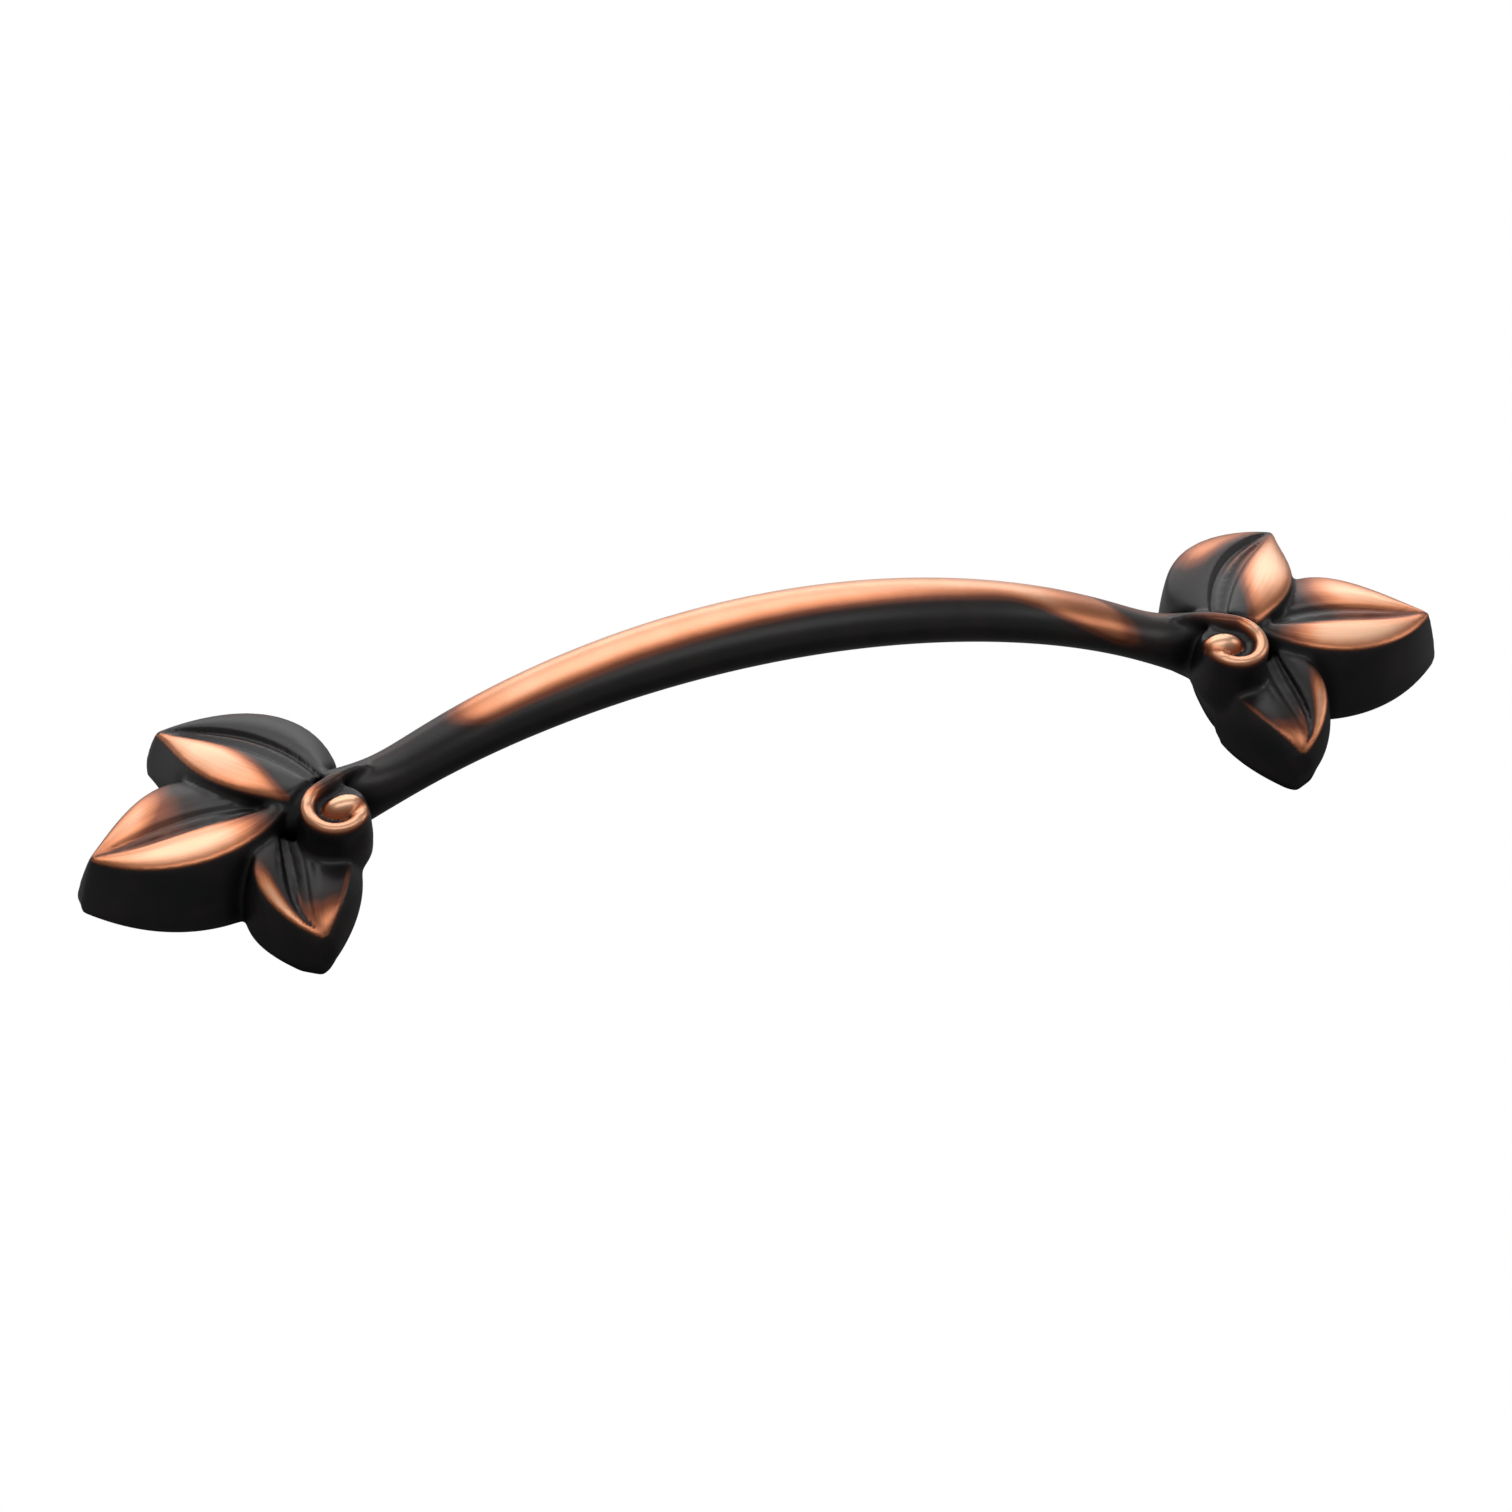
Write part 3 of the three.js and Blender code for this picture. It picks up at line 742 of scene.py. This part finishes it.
def makePull():
    forms = joinForms([makeBar()] + endForms(-1) + endForms(1))
    print("forms", len(forms.verts), flush=True)
    skin = castSkin(forms)
    print("skin", len(skin.verts), flush=True)
    marks = readMarks(skin, forms)
    forms.free()
    cutVeins(skin, marks)
    markSkin(skin, marks)
    print("marks", flush=True)
    flattenBack(skin)
    bmesh.ops.recalc_face_normals(skin, faces=skin.faces[:])
    bmesh.ops.scale(skin, verts=skin.verts[:], vec=(mm, mm, mm))
    for f in skin.faces:  # all but the backs are shaded smooth
        f.smooth = abs(f.normal.z) < 0.999 or f.calc_center_median().z > 0.02 * mm
    mesh = bpy.data.meshes.new("pullCasting")
    skin.to_mesh(mesh)
    skin.free()
    obj = bpy.data.objects.new("pullCasting", mesh)
    bpy.context.scene.collection.objects.link(obj)
    print("pull", len(mesh.vertices), len(mesh.loop_triangles), flush=True)
    return obj


def addNode(tree, kind, **values):
    node = tree.nodes.new(kind)
    for name, value in values.items():
        setattr(node, name, value)
    return node


def ramp(tree, stops, factor, interpolation="EASE"):
    node = addNode(tree, "ShaderNodeValToRGB")
    node.color_ramp.interpolation = interpolation
    while len(node.color_ramp.elements) < len(stops):
        node.color_ramp.elements.new(0.5)
    for element, (position, colour) in zip(node.color_ramp.elements, stops):
        element.position = position
        element.color = (*colour, 1)
    tree.links.new(factor, node.inputs["Fac"])
    return node.outputs["Color"]


def mathNode(tree, operation, a, b=None, c=None, clampIt=False):
    node = addNode(tree, "ShaderNodeMath", operation=operation, use_clamp=clampIt)
    for socket, value in zip(node.inputs, (a, b, c)):
        if value is None:
            continue
        if isinstance(value, (int, float)):
            socket.default_value = value
        else:
            tree.links.new(value, socket)
    return node.outputs[0]


def mixColour(tree, factor, a, b):
    node = addNode(tree, "ShaderNodeMix", data_type="RGBA")
    tree.links.new(factor, node.inputs["Factor"])
    for socket, value in (("A_Color", a), ("B_Color", b)):
        target = next(i for i in node.inputs if i.identifier == socket)
        if isinstance(value, tuple):
            target.default_value = (*value, 1)
        else:
            tree.links.new(value, target)
    return next(o for o in node.outputs if o.identifier == "Result_Color")


# Colours and sheens of the finish, and how its noises are laid. A tone is a gain and an offset.
finish = {
    # The copper runs from dark brown to a pale stop; its palest end, where the painted shine lifts the
    # rub, is partly a painted highlight.
    "copper": (
        (0.0, (0.020, 0.012, 0.011)), (0.2, (0.042, 0.020, 0.016)), (0.45, (0.25, 0.080, 0.042)),
        (0.7, (0.70, 0.26, 0.12)), (0.95, (0.97, 0.565, 0.36)),
    ),
    # nook is the near black of enclosed places, partly patina and partly painted shade.
    "nook": (0.003, 0.0035, 0.004), "greyPatina": (0.0056, 0.0066, 0.008),
    "brownPatina": (0.015, 0.0095, 0.0085), "openTone": (2.3, -1.15), "cloudTone": (3.0, -1.1),
    "patinaRough": 0.37, "nookRough": 0.62, "copperRough": 0.36, "specular": 0.5,
    "bareGain": 4.0, "metalGain": 2.2, "lacquer": 0.5, "lacquerRough": 0.3,
    "cloudScale": 300, "cloudDrift": 0.2, "streakStretch": (1, 2.2, 26), "streakDrift": 0.34,
    "edgeSoft": 1.5, "fineScale": 1100, "streakHeight": 0.5, "bumpStrength": 0.22, "bumpDepth": 0.00003,
}


def noiseNode(tree, place, scale, detail):
    node = addNode(tree, "ShaderNodeTexNoise")
    node.inputs["Scale"].default_value = scale
    node.inputs["Detail"].default_value = detail
    tree.links.new(place, node.inputs["Vector"])
    return node.outputs["Fac"]


# Buffing streaks run along each form, over a cloudy drift of the patina's edge.
def wearAndPaintedLightGroup():
    group = bpy.data.node_groups.new("copperWearAndPaintedLight", "ShaderNodeTree")
    group.interface.new_socket("RubAndPaintedLight", in_out="INPUT", socket_type="NodeSocketFloat")
    group.interface.new_socket("Grain", in_out="INPUT", socket_type="NodeSocketVector")
    for name in ("WearAndPaintedLight", "Streak", "Cloud"):
        group.interface.new_socket(name, in_out="OUTPUT", socket_type="NodeSocketFloat")
    start = addNode(group, "NodeGroupInput")
    end = addNode(group, "NodeGroupOutput")
    place = addNode(group, "ShaderNodeTexCoord").outputs["Object"]
    cloud = noiseNode(group, place, finish["cloudScale"], 3)
    stretch = addNode(group, "ShaderNodeVectorMath", operation="MULTIPLY")
    stretch.inputs[1].default_value = finish["streakStretch"]
    group.links.new(start.outputs["Grain"], stretch.inputs[0])
    streak = noiseNode(group, stretch.outputs["Vector"], 1, 4)
    clouds, lines = (
        mathNode(group, "MULTIPLY_ADD", noise, reach, -reach / 2)
        for noise, reach in ((cloud, finish["cloudDrift"]), (streak, finish["streakDrift"]))
    )
    drift = mathNode(group, "ADD", clouds, lines)
    rubAndPaintedLight = start.outputs["RubAndPaintedLight"]
    edge = mathNode(group, "MULTIPLY", rubAndPaintedLight, mathNode(group, "SUBTRACT", finish["edgeSoft"], rubAndPaintedLight))
    group.links.new(mathNode(group, "MULTIPLY_ADD", drift, edge, rubAndPaintedLight, True), end.inputs["WearAndPaintedLight"])
    group.links.new(streak, end.inputs["Streak"])
    group.links.new(cloud, end.inputs["Cloud"])
    return group


def antiqueCopper():
    material = bpy.data.materials.new("antiqueCopper")
    material.use_nodes = True
    tree = material.node_tree
    shader = tree.nodes["Principled BSDF"]
    # The rubbed copper read here carries painted highlight and shade laid over the buffing.
    rubAndPaintedLight = addNode(tree, "ShaderNodeAttribute", attribute_name="rubAndPaintedLight").outputs["Fac"]
    grain = addNode(tree, "ShaderNodeAttribute", attribute_name="grain").outputs["Vector"]
    wearAndPaintedLight = addNode(tree, "ShaderNodeGroup", node_tree=wearAndPaintedLightGroup())
    tree.links.new(rubAndPaintedLight, wearAndPaintedLight.inputs["RubAndPaintedLight"])
    tree.links.new(grain, wearAndPaintedLight.inputs["Grain"])
    # worn is the buffed copper with its painted highlight and shade, plus the streaky drift of its
    # edge.
    worn = wearAndPaintedLight.outputs["WearAndPaintedLight"]
    opened = addNode(tree, "ShaderNodeAttribute", attribute_name="open").outputs["Fac"]
    exposed = mathNode(tree, "MULTIPLY_ADD", opened, *finish["openTone"], True)
    cloudy = mathNode(tree, "MULTIPLY_ADD", wearAndPaintedLight.outputs["Cloud"], *finish["cloudTone"], True)
    patinaAndShade = mixColour(tree, cloudy, finish["greyPatina"], finish["brownPatina"])
    # Nooks go near black, partly patina gathered in the hollows and partly painted shade where the skin
    # is enclosed.
    patinaAndShade = mixColour(tree, exposed, finish["nook"], patinaAndShade)
    bare = mathNode(tree, "MULTIPLY", worn, finish["bareGain"], None, True)
    copper = ramp(tree, finish["copper"], worn, "LINEAR")
    tree.links.new(mixColour(tree, bare, patinaAndShade, copper), shader.inputs["Base Color"])
    # The nooks count as metal too, so that their black has no pale sheen; that black is partly patina
    # and partly painted shade.
    metal = mathNode(tree, "MULTIPLY", worn, finish["metalGain"], None, True)
    metal = mathNode(tree, "MAXIMUM", metal, mathNode(tree, "SUBTRACT", 1, exposed))
    tree.links.new(metal, shader.inputs["Metallic"])
    coat = mathNode(tree, "MULTIPLY", worn, finish["lacquer"])
    tree.links.new(coat, shader.inputs["Coat Weight"])
    shader.inputs["Coat Roughness"].default_value = finish["lacquerRough"]
    smoother = finish["patinaRough"] - finish["nookRough"]
    dull = mathNode(tree, "MULTIPLY_ADD", exposed, smoother, finish["nookRough"])
    change = mathNode(tree, "SUBTRACT", finish["copperRough"], dull)
    tree.links.new(mathNode(tree, "MULTIPLY_ADD", bare, change, dull), shader.inputs["Roughness"])
    shader.inputs["Specular IOR Level"].default_value = finish["specular"]
    place = addNode(tree, "ShaderNodeTexCoord").outputs["Object"]
    fine = noiseNode(tree, place, finish["fineScale"], 3)
    brushed = mathNode(tree, "MULTIPLY", worn, finish["streakHeight"])
    height = mathNode(tree, "MULTIPLY_ADD", wearAndPaintedLight.outputs["Streak"], brushed, fine)
    bumps = addNode(tree, "ShaderNodeBump")
    bumps.inputs["Strength"].default_value = finish["bumpStrength"]
    bumps.inputs["Distance"].default_value = finish["bumpDepth"]
    tree.links.new(height, bumps.inputs["Height"])
    tree.links.new(bumps.outputs["Normal"], shader.inputs["Normal"])
    return material


pull = makePull()
pull.data.materials.append(antiqueCopper())
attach(pull, "root")
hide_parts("pull")
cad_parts["pull"].hide_render = True
print("finish", flush=True)


# The set, in metres: a white floor and soft lights behind, above, low behind and at the right.
# Glossy rays see the floor dark at the front and pale behind the pull, a painted shadow of the pull
# seen only in reflections.
stage = {
    "floorHalf": 1.6, "floorGap": 0.00005, "floorShade": 0.85, "floorRough": 0.9,
    "floorMirroredShadow": (0.08, 0.9), "floorShadow": (-0.02, 0.06), "worldLight": 0.22,
    "lights": (
        {"at": (0.0, 0.75, 0.8), "size": (1.5, 0.6), "glow": 1.6},
        {"at": (0.0, -0.17, 0.94), "size": (1.2, 0.42), "glow": 1.3},
        {"at": (0.2, 1.35, 0.28), "size": (2.0, 0.45), "glow": 1.95},
        {"at": (1.0, 0.05, 0.5), "size": (0.4, 0.5), "glow": 1.5},
    ),
}


def makeStage():
    bm = bmesh.new()
    bmesh.ops.create_grid(bm, x_segments=1, y_segments=1, size=stage["floorHalf"])
    mesh = bpy.data.meshes.new("floor")
    bm.to_mesh(mesh)
    bm.free()
    mesh.transform(Matrix.Translation((0, 0, -stage["floorGap"])))
    floor = bpy.data.objects.new("floor", mesh)
    bpy.context.scene.collection.objects.link(floor)
    material = bpy.data.materials.new("whiteFloor")
    material.use_nodes = True
    tree = material.node_tree
    shader = tree.nodes["Principled BSDF"]
    path = addNode(tree, "ShaderNodeLightPath")
    place = addNode(tree, "ShaderNodeSeparateXYZ")
    tree.links.new(addNode(tree, "ShaderNodeTexCoord").outputs["Object"], place.inputs["Vector"])
    front, behind = stage["floorMirroredShadow"]
    near, far = stage["floorShadow"]
    # Glossy rays see a painted shadow on the floor: dark in front of the pull, pale behind it.
    mirroredShadow = addNode(tree, "ShaderNodeMapRange")
    spans = {"From Min": near, "From Max": far, "To Min": front, "To Max": behind}
    for name, value in spans.items():
        mirroredShadow.inputs[name].default_value = value
    tree.links.new(place.outputs["Y"], mirroredShadow.inputs["Value"])
    shade = mathNode(tree, "SUBTRACT", mirroredShadow.outputs["Result"], stage["floorShade"])
    glossy = path.outputs["Is Glossy Ray"]
    level = mathNode(tree, "MULTIPLY_ADD", glossy, shade, stage["floorShade"])
    tree.links.new(level, shader.inputs["Base Color"])
    shader.inputs["Roughness"].default_value = stage["floorRough"]
    glow = addNode(tree, "ShaderNodeEmission")
    glow.inputs["Color"].default_value = (1, 1, 1, 1)
    glow.inputs["Strength"].default_value = 1.0
    mix = addNode(tree, "ShaderNodeMixShader")
    tree.links.new(path.outputs["Is Camera Ray"], mix.inputs["Fac"])
    tree.links.new(shader.outputs["BSDF"], mix.inputs[1])
    tree.links.new(glow.outputs["Emission"], mix.inputs[2])
    tree.links.new(mix.outputs["Shader"], tree.nodes["Material Output"].inputs["Surface"])
    floor.data.materials.append(material)


def makeWorld():
    world = bpy.data.worlds.new("studio")
    world.use_nodes = True
    tree = world.node_tree
    back = tree.nodes["Background"]
    back.inputs["Color"].default_value = (1, 1, 1, 1)
    seen = addNode(tree, "ShaderNodeLightPath").outputs["Is Camera Ray"]
    strength = mathNode(tree, "MULTIPLY_ADD", seen, 1 - stage["worldLight"], stage["worldLight"])
    tree.links.new(strength, back.inputs["Strength"])
    bpy.context.scene.world = world


def makeLights():
    for i, light in enumerate(stage["lights"]):
        data = bpy.data.lights.new(f"softLight{i}", "AREA")
        data.shape = "RECTANGLE"
        data.size, data.size_y = light["size"]
        data.energy = light["glow"] * math.pi * data.size * data.size_y
        lamp = bpy.data.objects.new(f"softLight{i}", data)
        lamp.location = light["at"]
        lamp.rotation_mode = "QUATERNION"
        lamp.rotation_quaternion = (-Vector(light["at"])).to_track_quat("-Z", "Y")
        bpy.context.scene.collection.objects.link(lamp)


# The photo's camera in millimetres, its roll in radians, and where it aims beside the target.
view = {
    "at": (-196.5, -500.2, 531.2), "target": (0.0, -2.75, 8.0), "roll": 0.08777, "lens": 181.4,
    "aimRight": -2.659, "aimUp": -2.126,
}


def makeCamera():
    at, target = Vector(view["at"]), Vector(view["target"])
    ahead = (target - at).normalized()
    right = ahead.cross(Vector((0, 0, 1))).normalized()
    above = right.cross(ahead)
    turned = right * math.cos(view["roll"]) + above * math.sin(view["roll"])
    raised = above * math.cos(view["roll"]) - right * math.sin(view["roll"])
    ahead = (target + turned * view["aimRight"] + raised * view["aimUp"] - at).normalized()
    turned = (turned - ahead * turned.dot(ahead)).normalized()
    raised = turned.cross(ahead)
    data = bpy.data.cameras.new("photoCamera")
    data.lens = view["lens"]
    data.sensor_width = 36
    data.clip_start, data.clip_end = 0.01, 10
    camera = bpy.data.objects.new("photoCamera", data)
    facing = Matrix((turned, raised, -ahead)).transposed().to_4x4()
    camera.matrix_world = Matrix.Translation(at * mm) @ facing
    bpy.context.scene.collection.objects.link(camera)
    bpy.context.scene.camera = camera


makeStage()
makeWorld()
makeLights()
makeCamera()
bpy.context.scene.view_settings.view_transform = "Standard"
